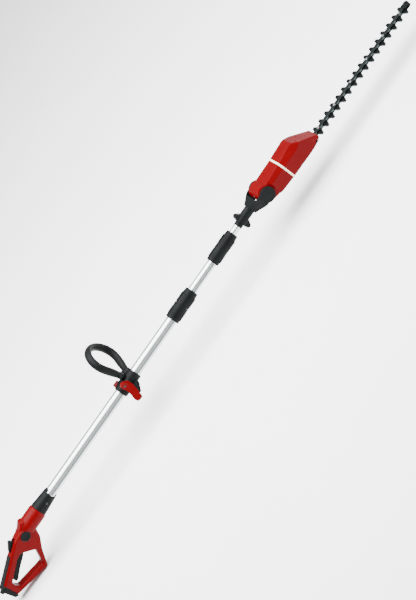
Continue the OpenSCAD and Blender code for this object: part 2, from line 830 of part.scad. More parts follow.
module head_screws() {
    color("silver") for (p = head_screw_places) {
        rod_y(p[0], p[1], p[2], p[2] + 2, 3.3);
        rod_y(p[0], p[1], -19, p[2], 1.5);
    }
}

module trim_ring() {
    color([0.93, 0.85, 0.72]) difference() {
        intersection() {
            ring_slab(2.9);
            head_form(-0.3);
        }
        head_form(1.6);
    }
}

// Notched plate that the latch holds
module tilt_sector() {
    color("silver") difference() {
        intersection() {
            rod_y(pivot_x, 0, -3.4, 3.4, 28);
            side_slab(-4, 4) polygon([
                [pivot_x + 10, 9.5], [pivot_x - 22, 12], [pivot_x - 40, 12], [pivot_x - 40, -10],
                [pivot_x - 30, -30], [pivot_x, -29], [pivot_x + 11, -22]
            ]);
        }
        rod_y(pivot_x, 0, -5, 5, 4.95 + run);
        for (a = [-15 : 15 : 75]) translate([pivot_x, 0, 0]) rotate([0, -a, 0])
            block([-30, -5, -2.2], [-24, 5, 2.2]);
    }
}

motor_back = pivot_x + 34;
motor_front = pivot_x + 110;
motor_r = 21;

module motor_can() {
    color("dimgray") difference() {
        translate([0, 0, motor_z]) union() {
            rod_x(motor_back, motor_front, motor_r);
            rod_x(motor_front - 1, motor_front + 4, 9);
        }
        translate([0, 0, motor_z]) {
            rod_x(motor_back + 3, motor_front - 3, 18.5);
            rod_x(motor_back - 1, motor_back + 4, 6.5);
            rod_x(motor_front - 4, motor_front + 5, 6.5);
        }
    }
}

module motor_bearings() {
    color("silver") translate([0, 0, motor_z]) for (x = [motor_back, motor_front])
        tube_x(x, x + (x == motor_back ? 3 : 4), 6.5, 2.5 + run);
}

module motor_shaft() {
    color("gray") translate([0, 0, motor_z]) {
        rod_x(motor_back, crown_x - crown_mesh_r + 3, 2.5);
        rod_x(motor_back + 18, motor_front - 18, 15);
        rod_x(motor_back + 8, motor_back + 15, 8);
        // Pinion: a root disc and its teeth, one of them pointing down
        rod_x(crown_x - crown_mesh_r - 2, crown_x - crown_mesh_r + 2, 4);
        for (k = [0 : pinion_teeth - 1]) rotate([k * 360 / pinion_teeth, 0, 0])
            translate([crown_x - crown_mesh_r - 2, 0, 0]) rotate([90, 0, 90]) linear_extrude(4)
                polygon([[-1, -3.4], [-0.4, -pinion_out_r], [0.4, -pinion_out_r], [1, -3.4]]);
    }
}

crown_root_z = motor_z - 6.8;

module crown_gear() {
    color("silver") translate([crown_x, 0, 0]) difference() {
        union() {
            translate([0, 0, crown_root_z - 5]) cylinder(h = 5, r = 24.5);
            translate([0, 0, bar_z]) cylinder(h = crown_root_z - 4 - bar_z, r = 11);
            // Teeth standing on the wheel's upper face
            for (k = [0 : crown_teeth - 1]) rotate([0, 0, (k + 0.5) * 360 / crown_teeth])
                translate([crown_mesh_r - 2, 0, crown_root_z - 0.5]) rotate([90, 0, 90]) linear_extrude(4)
                    polygon([[-1.1, 0], [-0.4, 2.8], [0.4, 2.8], [1.1, 0]]);
            // Two opposed eccentrics, one in each blade's window
            translate([0, throw, upper_z - 0.15]) cylinder(h = bar_z - upper_z + 0.2, r = eccentric_r);
            translate([0, -throw, lower_z + 0.1]) cylinder(h = upper_z - lower_z - 0.2, r = eccentric_r);
        }
        translate([0, 0, -60]) cylinder(h = 80, r = 2.5 + run);
    }
}

module gear_shaft() {
    color("silver") translate([crown_x, 0, base_z]) cylinder(h = 3 - base_z, r = 2.5);
}

// Bridge over the crown gear that holds the top of its shaft and the motor's nose
module gear_bracket() {
    color([0.6, 0.61, 0.62]) difference() {
        union() {
            block([crown_x - 8, -base_half, -2], [crown_x + 8, base_half, 3]);
            for (side = [-1, 1])
                block([crown_x - 8, side > 0 ? leg_in : -base_half, base_z + 2],
                      [crown_x + 8, side > 0 ? base_half : -leg_in, 1]);
        }
        translate([crown_x, 0, -10]) cylinder(h = 20, r = 2.5);
    }
}

module gear_base() {
    color([0.6, 0.61, 0.62]) difference() {
        union() {
            block([base_back, -base_half, base_z], [nose_x - 10.2, base_half, base_z + 2]);
            block([base_back, -base_half, base_z + 2], [nose_x - 40, -22.5, base_z + 6]);
            block([base_back, 22.5, base_z + 2], [nose_x - 40, base_half, base_z + 6]);
        }
        translate([crown_x, 0, -60]) cylinder(h = 80, r = 2.5);
        for (side = [-1, 1])
            block([crown_x - 8, side > 0 ? leg_in : -40, base_z + 2], [crown_x + 8, side > 0 ? 40 : -leg_in, 0]);
        translate([guide_screw_x(0), 0, -60]) cylinder(h = 80, r = 2.5);
    }
}

// ---------------------------------------------------------------- blade

function guide_screw_x(i) = i == 0 ? nose_x - 20 : nose_x + 20 + (i - 1) * guide_screw_step;

// One side of a blade's outline, from the nose to the tip: a row of tapered teeth
function tooth_row(side) = [for (i = [0 : tooth_count - 1])
    let (x = nose_x + 4 + i * tooth_pitch)
    each [[x, side * 9.5], [x + 5.5, side * blade_w / 2], [x + 12.5, side * blade_w / 2],
          [x + 19.5, side * 9.5]]];

module blade(z) {
    row = tooth_row(1);
    flipped = tooth_row(-1);
    color([0.2, 0.25, 0.25]) difference() {
        translate([0, 0, z]) linear_extrude(blade_t) polygon(concat(
            [[blade_back_x, -21], [blade_back_x, 21], [crown_x + 30, 21], [crown_x + 36, 9.5]],
            row,
            [[blade_end_x - 0.5, 7], [blade_end_x - 0.5, -7]],
            [for (i = [len(flipped) - 1 : -1 : 0]) flipped[i]],
            [[crown_x + 36, -9.5], [crown_x + 30, -21]]
        ));
        // Window in which the eccentric turns
        block([crown_x - 22.8, -16.2, z - 1], [crown_x + 22.8, 16.2, z + blade_t + 1]);
        for (i = [0 : guide_screw_count]) blade_slot(guide_screw_x(i), z);
    }
}

// Slot that lets a blade slide past a guide screw
module blade_slot(x, z) {
    translate([x - throw - 0.5, 0, z - 1]) cylinder(h = blade_t + 2, r = 3.2);
    translate([x + throw + 0.5, 0, z - 1]) cylinder(h = blade_t + 2, r = 3.2);
    block([x - throw - 0.5, -3.2, z - 1], [x + throw + 0.5, 3.2, z + blade_t + 1]);
}

module upper_blade() { blade(upper_z); }
module lower_blade() { blade(lower_z); }

bar_t = 3.2;

module guide_bar() {
    color([0.55, 0.6, 0.6]) difference() {
        block([nose_x - 30, -8, bar_z], [tip_x - 11, 8, bar_z + bar_t]);
        for (i = [0 : guide_screw_count]) translate([guide_screw_x(i), 0, bar_z - 1]) cylinder(h = 5, r = 2.5);
    }
}

module guide_screws() {
    color("silver") for (i = [0 : guide_screw_count]) {
        foot = i == 0 ? base_z : lower_z - 0.4;
        translate([guide_screw_x(i), 0, bar_z + bar_t]) cylinder(h = 2.4, r = 4.4);
        translate([guide_screw_x(i), 0, foot]) cylinder(h = bar_z + bar_t - foot, r = 2.5);
        if (i > 0) translate([guide_screw_x(i), 0, lower_z - 3.2]) cylinder(h = 2.8, r = 4.4, $fn = 6);
    }
}

module tip_guard() {
    color([0.12, 0.12, 0.12]) difference() {
        translate([0, 0, lower_z - 2]) linear_extrude(bar_z + bar_t - lower_z + 3.6) polygon(rounded([
            [tip_x - 26, -12, 1], [tip_x - 2, -12, 7], [tip_x, 0, 8], [tip_x - 2, 12, 7], [tip_x - 26, 12, 1]
        ]));
        // Room for the blades' ends, and the seat of the guide bar
        block([tip_x - 40, -30, lower_z - 0.3], [tip_x - 11, 30, bar_z - 0.2]);
        block([tip_x - 40, -8, lower_z], [tip_x - 11, 8, bar_z + bar_t]);
        translate([tip_x - 5.5, 0, -60]) cylinder(h = 60, r = tip_hole_r);
    }
}

// ---------------------------------------------------------------- nodes

place() handle_shell_right();
place() handle_shell_left();
place() soft_grip();
place() end_cap();
place() inlet_gland();
place() pole_bolt();
place() round_caps();
place() handle_screws();
place() trigger();
place() trigger_spring();
place() lock_off_button();
place() lock_off_spring();
place() switch();
place() front_collar();
place() collar_screw();
place() rear_tube();
place() coiled_lead();
place() sleeve_1_base();
place() sleeve_1_collet();
place() sleeve_1_nut();
place() middle_tube();
place() middle_tube_plug();
place() sleeve_2_base();
place() sleeve_2_collet();
place() sleeve_2_nut();
place() front_tube();
place() front_tube_plug();
place() clamp_body();
place() clamp_jaw();
place() clamp_bolt();
place() clamp_lever();
place() loop_handle();
place() loop_bolt();
place() neck();
place() head_lead();
place() release_collar();
place() latch_plunger();
place() latch_spring();
place() fork_right();
place() fork_left();
place() fork_screws();
place() pivot_pin();
place() head_shell_right();
place() head_shell_left();
place() head_screws();
place() trim_ring();
place() tilt_sector();
place() motor_can();
place() motor_shaft();
place() motor_bearings();
place() crown_gear();
place() gear_shaft();
place() gear_bracket();
place() gear_base();
place() upper_blade();
place() lower_blade();
place() guide_bar();
place() guide_screws();
place() tip_guard();
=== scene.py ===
import json
import math

import bmesh
import bpy
from mathutils import Matrix, Vector


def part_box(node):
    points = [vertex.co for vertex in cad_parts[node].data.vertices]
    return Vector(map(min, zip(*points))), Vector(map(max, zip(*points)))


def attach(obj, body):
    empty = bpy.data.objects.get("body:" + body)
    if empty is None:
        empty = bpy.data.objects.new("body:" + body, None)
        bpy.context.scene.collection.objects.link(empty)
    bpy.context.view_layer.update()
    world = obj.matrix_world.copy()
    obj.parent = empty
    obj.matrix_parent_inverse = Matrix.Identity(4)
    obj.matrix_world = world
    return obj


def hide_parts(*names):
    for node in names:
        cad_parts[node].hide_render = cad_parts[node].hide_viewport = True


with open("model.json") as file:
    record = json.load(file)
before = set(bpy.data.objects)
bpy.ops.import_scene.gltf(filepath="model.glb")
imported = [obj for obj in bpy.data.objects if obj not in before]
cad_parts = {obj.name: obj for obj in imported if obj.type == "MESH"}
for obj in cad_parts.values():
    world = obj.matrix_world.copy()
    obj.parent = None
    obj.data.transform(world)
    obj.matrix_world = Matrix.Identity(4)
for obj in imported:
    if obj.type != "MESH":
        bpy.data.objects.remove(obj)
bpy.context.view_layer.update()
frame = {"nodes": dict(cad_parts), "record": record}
nodes = frame["nodes"]
MM = 0.001

# The pole's own coordinates, in millimetres: X forward from the black collar's front end,
# Y to the left and Z up from the pole's axis. The rear tube starts 126 mm behind that end.
tube_lo, tube_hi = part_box("rear_tube")
ORIGIN = Vector((tube_lo.x + 0.126, (tube_lo.y + tube_hi.y) / 2, (tube_lo.z + tube_hi.z) / 2))


def at(x, y, z):
    return ORIGIN + Vector((x, y, z)) * MM


# ---------------------------------------------------------------- materials


class Graph:
    """A material's nodes, with short calls for the ones used here."""

    def __init__(self, name):
        self.mat = bpy.data.materials.new(name)
        self.mat.use_nodes = True
        self.tree = self.mat.node_tree
        self.shader = self.tree.nodes["Principled BSDF"]
        self.coord = self.tree.nodes.new("ShaderNodeTexCoord")

    def link(self, a, b):
        self.tree.links.new(a, b)

    def noise(self, scale, detail=3.0, rough=0.55, stretch=(1, 1, 1)):
        mapping = self.tree.nodes.new("ShaderNodeMapping")
        mapping.inputs["Scale"].default_value = stretch
        self.link(self.coord.outputs["Object"], mapping.inputs["Vector"])
        node = self.tree.nodes.new("ShaderNodeTexNoise")
        node.inputs["Scale"].default_value = scale
        node.inputs["Detail"].default_value = detail
        node.inputs["Roughness"].default_value = rough
        self.link(mapping.outputs["Vector"], node.inputs["Vector"])
        return node.outputs["Fac"]

    def cells(self, scale, feature="F1"):
        node = self.tree.nodes.new("ShaderNodeTexVoronoi")
        node.feature = feature
        node.inputs["Scale"].default_value = scale
        self.link(self.coord.outputs["Object"], node.inputs["Vector"])
        return node.outputs["Distance"]

    def span(self, value, lo, hi, from_lo=0.3, from_hi=0.7):
        node = self.tree.nodes.new("ShaderNodeMapRange")
        node.inputs["From Min"].default_value = from_lo
        node.inputs["From Max"].default_value = from_hi
        node.inputs["To Min"].default_value = lo
        node.inputs["To Max"].default_value = hi
        self.link(value, node.inputs["Value"])
        return node.outputs["Result"]

    def tones(self, value, dark, light, lo=0.3, hi=0.7):
        node = self.tree.nodes.new("ShaderNodeValToRGB")
        node.color_ramp.elements[0].position = lo
        node.color_ramp.elements[0].color = (*dark, 1)
        node.color_ramp.elements[1].position = hi
        node.color_ramp.elements[1].color = (*light, 1)
        self.link(value, node.inputs["Fac"])
        return node.outputs["Color"]

    def mix(self, fac, a, b):
        node = self.tree.nodes.new("ShaderNodeMix")
        node.data_type = "RGBA"
        self.link(fac, node.inputs["Factor"])
        self.link(a, node.inputs["A"])
        self.link(b, node.inputs["B"])
        return node.outputs["Result"]

    def bump(self, height, distance, strength=1.0, under=None):
        node = self.tree.nodes.new("ShaderNodeBump")
        node.inputs["Distance"].default_value = distance
        node.inputs["Strength"].default_value = strength
        self.link(height, node.inputs["Height"])
        if under is not None:
            self.link(under, node.inputs["Normal"])
        return node.outputs["Normal"]

    def set(self, **values):
        for key, value in values.items():
            socket = self.shader.inputs[key.replace("_", " ")]
            if hasattr(value, "is_linked"):
                self.link(value, socket)
            else:
                socket.default_value = value


def shade(colour, k):
    return tuple(min(1.0, c * k) for c in colour)


def moulded(name, colour, rough, grain, grain_depth, coat=0.0, spread=0.12):
    """Injection-moulded plastic: slow colour drift, satin patches from handling, a fine mould grain."""
    g = Graph(name)
    g.set(
        Base_Color=g.tones(g.noise(14, 4), shade(colour, 1 - spread), shade(colour, 1 + spread)),
        Roughness=g.span(g.noise(60, 5), rough - 0.05, rough + 0.07),
        Normal=g.bump(g.noise(grain, 2), grain_depth, 0.6, g.bump(g.noise(35, 1), 0.0003, 0.15)),
        Specular_IOR_Level=0.05,
        Coat_Weight=coat,
        Coat_Roughness=0.12,
    )
    return g.mat


def metal(name, colour, rough, stretch, lines, depth, spread=0.12, blotch=20):
    """Worked metal: fine lines along the direction it was drawn, ground or turned in."""
    g = Graph(name)
    along = g.noise(lines, 3, 0.6, stretch)
    g.set(
        Base_Color=g.mix(
            g.span(along, 0.0, 1.0, 0.35, 0.65),
            g.tones(g.noise(blotch, 4), shade(colour, 1 - spread), colour),
            g.tones(g.noise(blotch * 1.7, 3), colour, shade(colour, 1 + spread)),
        ),
        Metallic=1.0,
        Roughness=g.span(along, rough - 0.06, rough + 0.08),
        Normal=g.bump(along, depth, 0.5),
    )
    return g.mat


def rubber(name, colour, rough):
    """Soft moulding: matt, with a pebbled grain and a little sheen at grazing angles."""
    g = Graph(name)
    pebble = g.cells(900)
    g.set(
        Base_Color=g.tones(g.noise(25, 4), shade(colour, 0.8), shade(colour, 1.25)),
        Roughness=g.span(g.noise(90, 4), rough - 0.06, rough + 0.06),
        Normal=g.bump(pebble, 0.00012, 0.5, g.bump(g.noise(1800, 2), 0.00004, 0.5)),
        Sheen_Weight=0.03,
        Specular_IOR_Level=0.07,
        Sheen_Roughness=0.5,
    )
    return g.mat


RED = moulded("red_gloss", (0.095, 0.0002, 0.0012), 0.30, 1500, 0.00003, coat=0.0, spread=0.07)
BLACK = moulded("black_grained", (0.0040, 0.0050, 0.0051), 0.42, 1300, 0.00010, spread=0.18)
BLACK_SOFT = rubber("black_soft", (0.0018, 0.0022, 0.0023), 0.58)
FOAM = rubber("loop_soft", (0.0026, 0.0033, 0.0034), 0.48)
TUBE = metal("drawn_aluminium", (0.58, 0.63, 0.625), 0.30, (0.02, 1, 1), 2200, 0.00002, 0.05)
DARK_SCREW = metal("blackened_steel", (0.03, 0.034, 0.034), 0.40, (1, 1, 1), 700, 0.00002)
# Painted shade: a darker metal for the tubes' groove floors, standing in for the shade in the recess
GROOVE_SHADE = metal("groove_painted_shade", (0.10, 0.115, 0.115), 0.42, (0.02, 1, 1), 2200, 0.00002, 0.05)
STEEL = metal("bright_steel", (0.62, 0.63, 0.64), 0.26, (1, 1, 1), 700, 0.00002)
BLADE = metal("dark_blade", (0.012, 0.017, 0.017), 0.36, (1, 0.05, 1), 1500, 0.00002, 0.25)
BEVEL = metal("ground_edge", (0.05, 0.06, 0.06), 0.28, (1, 0.05, 1), 2600, 0.00002, 0.15)
BAR = metal("ground_bar", (0.045, 0.055, 0.055), 0.30, (0.03, 1, 1), 1800, 0.00002, 0.15)
CAST = metal("cast_aluminium", (0.50, 0.51, 0.52), 0.50, (1, 1, 1), 260, 0.00008, 0.15)
MOTOR = metal("motor_steel", (0.22, 0.22, 0.23), 0.42, (1, 1, 1), 400, 0.00003, 0.2)
PALE = moulded("pale_satin", (0.86, 0.74, 0.52), 0.26, 1400, 0.00003, coat=0.3, spread=0.06)
NYLON = moulded("natural_nylon", (0.70, 0.68, 0.60), 0.45, 900, 0.00005)

LOOK = {
    "red_plastic": RED, "black_plastic": BLACK, "black_rubber": BLACK_SOFT, "aluminium": TUBE,
    "steel": STEEL, "motor_steel": MOTOR, "cast_aluminium": CAST, "pale_plastic": PALE,
    "blade_steel": BLADE, "bar_steel": BAR,
}
SLOT = {s["node"]: s["material_slot"] for s in frame["record"]["subparts"]}
BODY = {n: b for b, ns in frame["record"]["behaviour"]["bodies"].items() for n in ns}


def paint(o, *mats):
    o.data.materials.clear()
    for m in mats:
        o.data.materials.append(m)


for name, o in nodes.items():
    mat = NYLON if name.endswith("_collet") else LOOK[SLOT[name]]
    if not o.material_slots:
        o.data.materials.append(mat)
    for s in o.material_slots:
        s.material = mat


# ---------------------------------------------------------------- mesh helpers

# Cell of the even skins, in millimetres
VOXEL = 0.9


def linked(name, me):
    o = bpy.data.objects.new(name, me)
    bpy.context.scene.collection.objects.link(o)
    return o


def baked(o):
    """Turns the object's modifiers into its mesh."""
    bpy.context.view_layer.update()
    deps = bpy.context.evaluated_depsgraph_get()
    me = bpy.data.meshes.new_from_object(o.evaluated_get(deps))
    old = o.data
    o.modifiers.clear()
    o.data = me
    if old.users == 0 and isinstance(old, bpy.types.Mesh):
        bpy.data.meshes.remove(old)
    return o


def edit(o, work):
    bm = bmesh.new()
    bm.from_mesh(o.data)
    work(bm)
    bm.to_mesh(o.data)
    bm.free()
    o.data.update()
    return o


def smooth(o, angle=32, weighted=True):
    o.data.polygons.foreach_set("use_smooth", [True] * len(o.data.polygons))
    o.data.set_sharp_from_angle(angle=math.radians(angle))
    if weighted:
        m = o.modifiers.new("normals", "WEIGHTED_NORMAL")
        m.keep_sharp = True
        m.weight = 80
        baked(o)
    return o


def joined(name, parts):
    """One mesh object from several, which are removed."""
    bm = bmesh.new()
    for p in parts:
        p.data.transform(p.matrix_world)
        bm.from_mesh(p.data)
    me = bpy.data.meshes.new(name)
    bm.to_mesh(me)
    bm.free()
    for p in parts:
        bpy.data.objects.remove(p)
    return linked(name, me)


def cut(o, tools, operation="DIFFERENCE"):
    for t in tools:
        m = o.modifiers.new("cut", "BOOLEAN")
        m.operation = operation
        m.solver = "EXACT"
        m.object = t
    baked(o)
    for t in tools:
        bpy.data.objects.remove(t)
    return o


def voxel(o, size, rounds, factor=0.5):
    """One even skin over everything in o, with its edges softened."""
    m = o.modifiers.new("skin", "REMESH")
    m.mode = "VOXEL"
    m.voxel_size = size * MM
    if rounds:
        s = o.modifiers.new("soften", "SMOOTH")
        s.iterations = rounds
        s.factor = factor
    return baked(o)


def arc_points(pts, steps=6):
    """A closed outline with its corners rounded: each entry is (x, y, radius)."""
    out = []
    n = len(pts)
    for i, (x, y, r) in enumerate(pts):
        q = Vector((x, y))
        if r == 0:
            out.append(q)
            continue
        a = (Vector(pts[i - 1][:2]) - q).normalized()
        b = (Vector(pts[(i + 1) % n][:2]) - q).normalized()
        half = a.angle(b) / 2
        s, e = q + a * r / math.tan(half), q + b * r / math.tan(half)
        c = q + (a + b).normalized() * r / math.sin(half)
        start = math.atan2(s.y - c.y, s.x - c.x)
        turn = (s - c).angle(e - c)
        if (s - c).x * (e - c).y - (s - c).y * (e - c).x < 0:
            turn = -turn
        for k in range(steps + 1):
            t = start + turn * k / steps
            out.append(c + Vector((math.cos(t), math.sin(t))) * r)
    return out


def slab(name, loops, half, edge, y=0.0, steps=6):
    """A plate in the pole's X-Z plane, 2 x half thick, with holes, and its edges rounded to edge."""
    cu = bpy.data.curves.new(name, "CURVE")
    cu.dimensions = "2D"
    cu.fill_mode = "BOTH"
    cu.extrude = half - edge
    cu.bevel_depth = edge
    cu.bevel_resolution = 5
    cu.offset = -edge
    for loop in loops:
        pts = arc_points(loop, steps)
        sp = cu.splines.new("POLY")
        sp.points.add(len(pts) - 1)
        for p, q in zip(sp.points, pts):
            p.co = (q.x, q.y, 0, 1)
        sp.use_cyclic_u = True
    o = linked(name, cu)
    bpy.context.view_layer.update()
    me = bpy.data.meshes.new_from_object(o.evaluated_get(bpy.context.evaluated_depsgraph_get()))
    bpy.data.objects.remove(o)
    me.transform(Matrix.Translation(at(0, y, 0)) @ Matrix.Scale(MM, 4) @ Matrix.Rotation(math.pi / 2, 4, "X"))
    o = linked(name, me)
    edit(o, lambda bm: bmesh.ops.remove_doubles(bm, verts=bm.verts, dist=1e-6))
    edit(o, lambda bm: bmesh.ops.recalc_face_normals(bm, faces=bm.faces))
    return o


def lathe(name, rows, centre, direction, sides=64, start=0.0):
    """A turned piece: rows of (distance along, radius) about an axis from centre; closed at both ends."""
    d = Vector(direction).normalized()
    u = Vector((0, 0, 1)) if abs(d.z) < 0.9 else Vector((1, 0, 0))
    u = (u - d * u.dot(d)).normalized()
    v = d.cross(u)
    bm = bmesh.new()
    rings = []
    for a, r in rows:
        rings.append([bm.verts.new(Vector(centre) + d * a * MM + (u * math.cos(t) + v * math.sin(t)) * r * MM)
                      for t in [start + 2 * math.pi * k / sides for k in range(sides)]])
    for p, q in zip(rings, rings[1:]):
        for k in range(sides):
            bm.faces.new((p[k], p[(k + 1) % sides], q[(k + 1) % sides], q[k]))
    bm.faces.new(rings[0])
    bm.faces.new(rings[-1])
    bmesh.ops.recalc_face_normals(bm, faces=bm.faces)
    me = bpy.data.meshes.new(name)
    bm.to_mesh(me)
    bm.free()
    return linked(name, me)


def tidy(bm):
    """A CAD copy's triangles back to whole faces."""
    bmesh.ops.remove_doubles(bm, verts=bm.verts, dist=2e-6)
    bmesh.ops.dissolve_degenerate(bm, dist=1e-6, edges=bm.edges)
    bmesh.ops.dissolve_limit(bm, angle_limit=math.radians(0.8), verts=bm.verts, edges=bm.edges)


def eased(node, width, segments=3, angle=30, mats=None):
    """A copy of a CAD node with its hard edges rounded over, which stands for the node."""
    me = nodes[node].data.copy()
    me.name = node + "_eased"
    o = linked(node + "_eased", me)
    edit(o, tidy)

    def work(bm):
        edges = [e for e in bm.edges if len(e.link_faces) == 2 and e.calc_face_angle(0) > math.radians(angle)]
        bmesh.ops.bevel(bm, geom=edges, offset=width * MM, offset_type="OFFSET", segments=segments,
                        profile=0.5, affect="EDGES", clamp_overlap=True)

    edit(o, work)
    smooth(o, 40)
    paint(o, *(mats or [nodes[node].data.materials[0]]))
    for p in o.data.polygons:
        p.material_index = 0
    return worn(o, node)


def worn(o, *names):
    """o rides on its CAD nodes' body and stands for them."""
    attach(o, BODY[names[0]])
    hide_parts(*names)
    return o


def half(o, side):
    """The part of o on one side of the middle plane, closed there, as a new object."""
    me = o.data.copy()
    new = linked(o.name + ("_right" if side < 0 else "_left"), me)

    def work(bm):
        geom = bm.verts[:] + bm.edges[:] + bm.faces[:]
        got = bmesh.ops.bisect_plane(bm, geom=geom, dist=1e-7, plane_co=at(0, side * 0.12, 0),
                                     plane_no=(0, -side, 0), clear_outer=True)
        rim = [e for e in got["geom_cut"] if isinstance(e, bmesh.types.BMEdge)]
        bmesh.ops.holes_fill(bm, edges=rim, sides=0)

    edit(new, work)
    return new


# ---------------------------------------------------------------- rear handle

SLOPE = math.tan(math.radians(24))


def grip_z(x):
    return -3 + (x + 200) * SLOPE


outline = [(-104, 26, 0), (-113, 31, 4), (-136, 16, 14), (-170, 9.5, 40), (-205, grip_z(-205), 20),
           (-296, grip_z(-296), 8.5), (-292, -99, 8.5), (-177, -125, 10), (-142, -76, 20),
           (-116, -49, 14), (-104, -26, 0)]
opening = [(-155, -61, 6), (-180, -36, 4), (-187, -28, 4), (-208, -31.5, 14), (-262, -57, 8),
           (-272, -62, 4), (-273, -78, 5), (-267, -90, 6), (-177, -105, 8)]

handle = joined("handle", [
    slab("d", [outline, opening], 18, 7.5),
    lathe("socket", [(0, 24), (2.5, 26.2), (6, 27), (54, 27), (60, 26), (76, 19), (80, 12)],
          at(-56, 0, 0), (-1, 0, 0)),
    lathe("boss", [(-20.5, 16.4), (-19.5, 17.8), (-18, 18.5), (18, 18.5), (19.5, 17.8), (20.5, 16.4)],
          at(-136.5, 0, -5), (0, 1, 0)),
    lathe("ear", [(-18.8, 3.4), (-18, 4.5), (-10, 5)], at(-156, 0, -38), (0, 1, 0), 32),
])
voxel(handle, VOXEL, 4)
cut(handle, [
    lathe("bore", [(0, 16.05), (72, 16.05)], at(-55, 0, 0), (-1, 0, 0)),
    lathe("cap_right", [(16.9, 15.6), (30, 15.6)], at(-136.5, 0, -5), (0, -1, 0)),
    lathe("cap_left", [(16.9, 15.6), (30, 15.6)], at(-136.5, 0, -5), (0, 1, 0)),
])
cut(handle, [
    lathe("lead_way", [(0, 9), (42, 9)], at(-126, 0, -3), (-1, 0, 0), 32),
    lathe("bolt_way", [(-23, 2.6), (21.9, 2.6), (22, 5), (30, 5)], at(-112, 0, 0), (0, 1, 0), 32),
])
cut(handle, [
    slab("hollow", [[(-156, 2, 0), (-166, -22, 0), (-181.5, -24, 0), (-181.5, -42, 0), (-262, -80, 0),
                     (-266, -60, 0), (-266, -43, 0), (-205, -13, 0), (-180, -2, 0)]], 9.0, 0.01),
    slab("button_slot", [[(-203, -14, 0), (-203, 4, 0), (-162, 24, 0), (-162, 2, 0)]], 6.35, 0.01),
])
for x, z in [(-156, -38), (-156.5, -83), (-190, -112), (-280, -91), (-283.5, -70)]:
    cut(handle, [lathe("screw_hole", [(15, 3.6), (30, 3.6)], at(x, 0, z), (0, 1, 0), 32)])
for side, node in [(-1, "handle_shell_right"), (1, "handle_shell_left")]:
    o = half(handle, side)
    smooth(o, 38, False)
    paint(o, RED)
    worn(o, node)
bpy.data.objects.remove(handle)

grip = slab("soft_grip_pad", [[(-211, grip_z(-211) - 9, 3), (-211, grip_z(-211) + 1.4, 3),
                               (-296.3, grip_z(-296.3) + 1.4, 3), (-296.3, grip_z(-296.3) - 9, 3)]], 13.4, 2.5)
# Shallow ribs across the pad
edit(grip, lambda bm: bmesh.ops.subdivide_edges(
    bm, edges=[e for e in bm.edges if e.calc_length() > 0.02], cuts=60, use_grid_fill=True))
voxel(grip, 0.8, 2)
for v in grip.data.vertices:
    x = (v.co.x - ORIGIN.x) / MM
    z = (v.co.z - ORIGIN.z) / MM
    top = z - grip_z(x) - 0.4
    if top > 0 and -290 < x < -219:
        v.co.z -= 0.55 * MM * max(0.0, math.cos(2 * math.pi * x / 6.0)) ** 2 * min(1.0, top)
smooth(grip, 50, False)
paint(grip, BLACK_SOFT)
worn(grip, "soft_grip")

cap = slab("rear_cap", [[(-296.5, grip_z(-296), 2), (-310, -52, 6), (-303, -97, 6), (-292, -103, 2),
                         (-290, -97, 0), (-290, grip_z(-290) - 4, 0)]], 18.6, 5)
cut(cap, [
    lathe("inlet", [(-6, 7.5), (40, 7.5)], at(-290, 0, -57),
          (-math.cos(math.radians(6)), 0, -math.sin(math.radians(6))))
])
smooth(cap, 38)
paint(cap, BLACK)
worn(cap, "end_cap")

eased("inlet_gland", 0.8)
eased("round_caps", 0.9, 4)
eased("trigger", 2.6, 5, 25)
eased("lock_off_button", 1.6, 4)
eased("handle_screws", 0.35, 2)
eased("front_collar", 0.9, 3, 28)
eased("collar_screw", 0.4, 2, mats=[DARK_SCREW])

# ---------------------------------------------------------------- pole

for n in ("rear_tube", "middle_tube"):
    o = eased(n, 0.22, 2, 25, [TUBE, GROOVE_SHADE])
    # The grooves' floors get a darker metal: painted shade standing in for the shade in the recess
    for p in o.data.polygons:
        shaded_groove = abs(p.center.z - ORIGIN.z) < 3.3 * MM and abs(p.normal.y) > 0.99
        p.material_index = 1 if shaded_groove else 0
for n in ("sleeve_1_base", "sleeve_1_nut", "sleeve_2_base", "sleeve_2_nut"):
    eased(n, 0.35, 2, 30)

# ---------------------------------------------------------------- loop handle

for n, w in (("clamp_body", 1.0), ("clamp_jaw", 1.2), ("clamp_lever", 1.8)):
    eased(n, w)
for n, w in (("clamp_bolt", 0.4), ("loop_bolt", 0.5)):
    eased(n, w, mats=[DARK_SCREW])

# The loop's own upright frame, leaning to the left about the pole and turned left leg forward
LOOP_FRAME = (Matrix.Translation(ORIGIN) @ Matrix.Scale(MM, 4) @ Matrix.Rotation(math.radians(-36), 4, "X")
              @ Matrix.Translation((402.5, 0, 24)) @ Matrix.Rotation(math.radians(-30), 4, "Z"))
LOOP_R, LOOP_MID = 51, 70


def loop_line():
    """The bar's middle: up the right leg, over the round top and down the left."""
    leg = Vector((-LOOP_R * math.cos(math.radians(30)), LOOP_MID - LOOP_R * 0.5))
    pts = [Vector((-20, 3)).lerp(leg, k / 10) for k in range(10)]
    for k in range(49):
        a = math.radians(210 - 5 * k)
        pts.append(Vector((LOOP_R * math.cos(a), LOOP_MID + LOOP_R * math.sin(a))))
    return pts + [Vector((-q.x, q.y)) for q in reversed(pts[:10])]


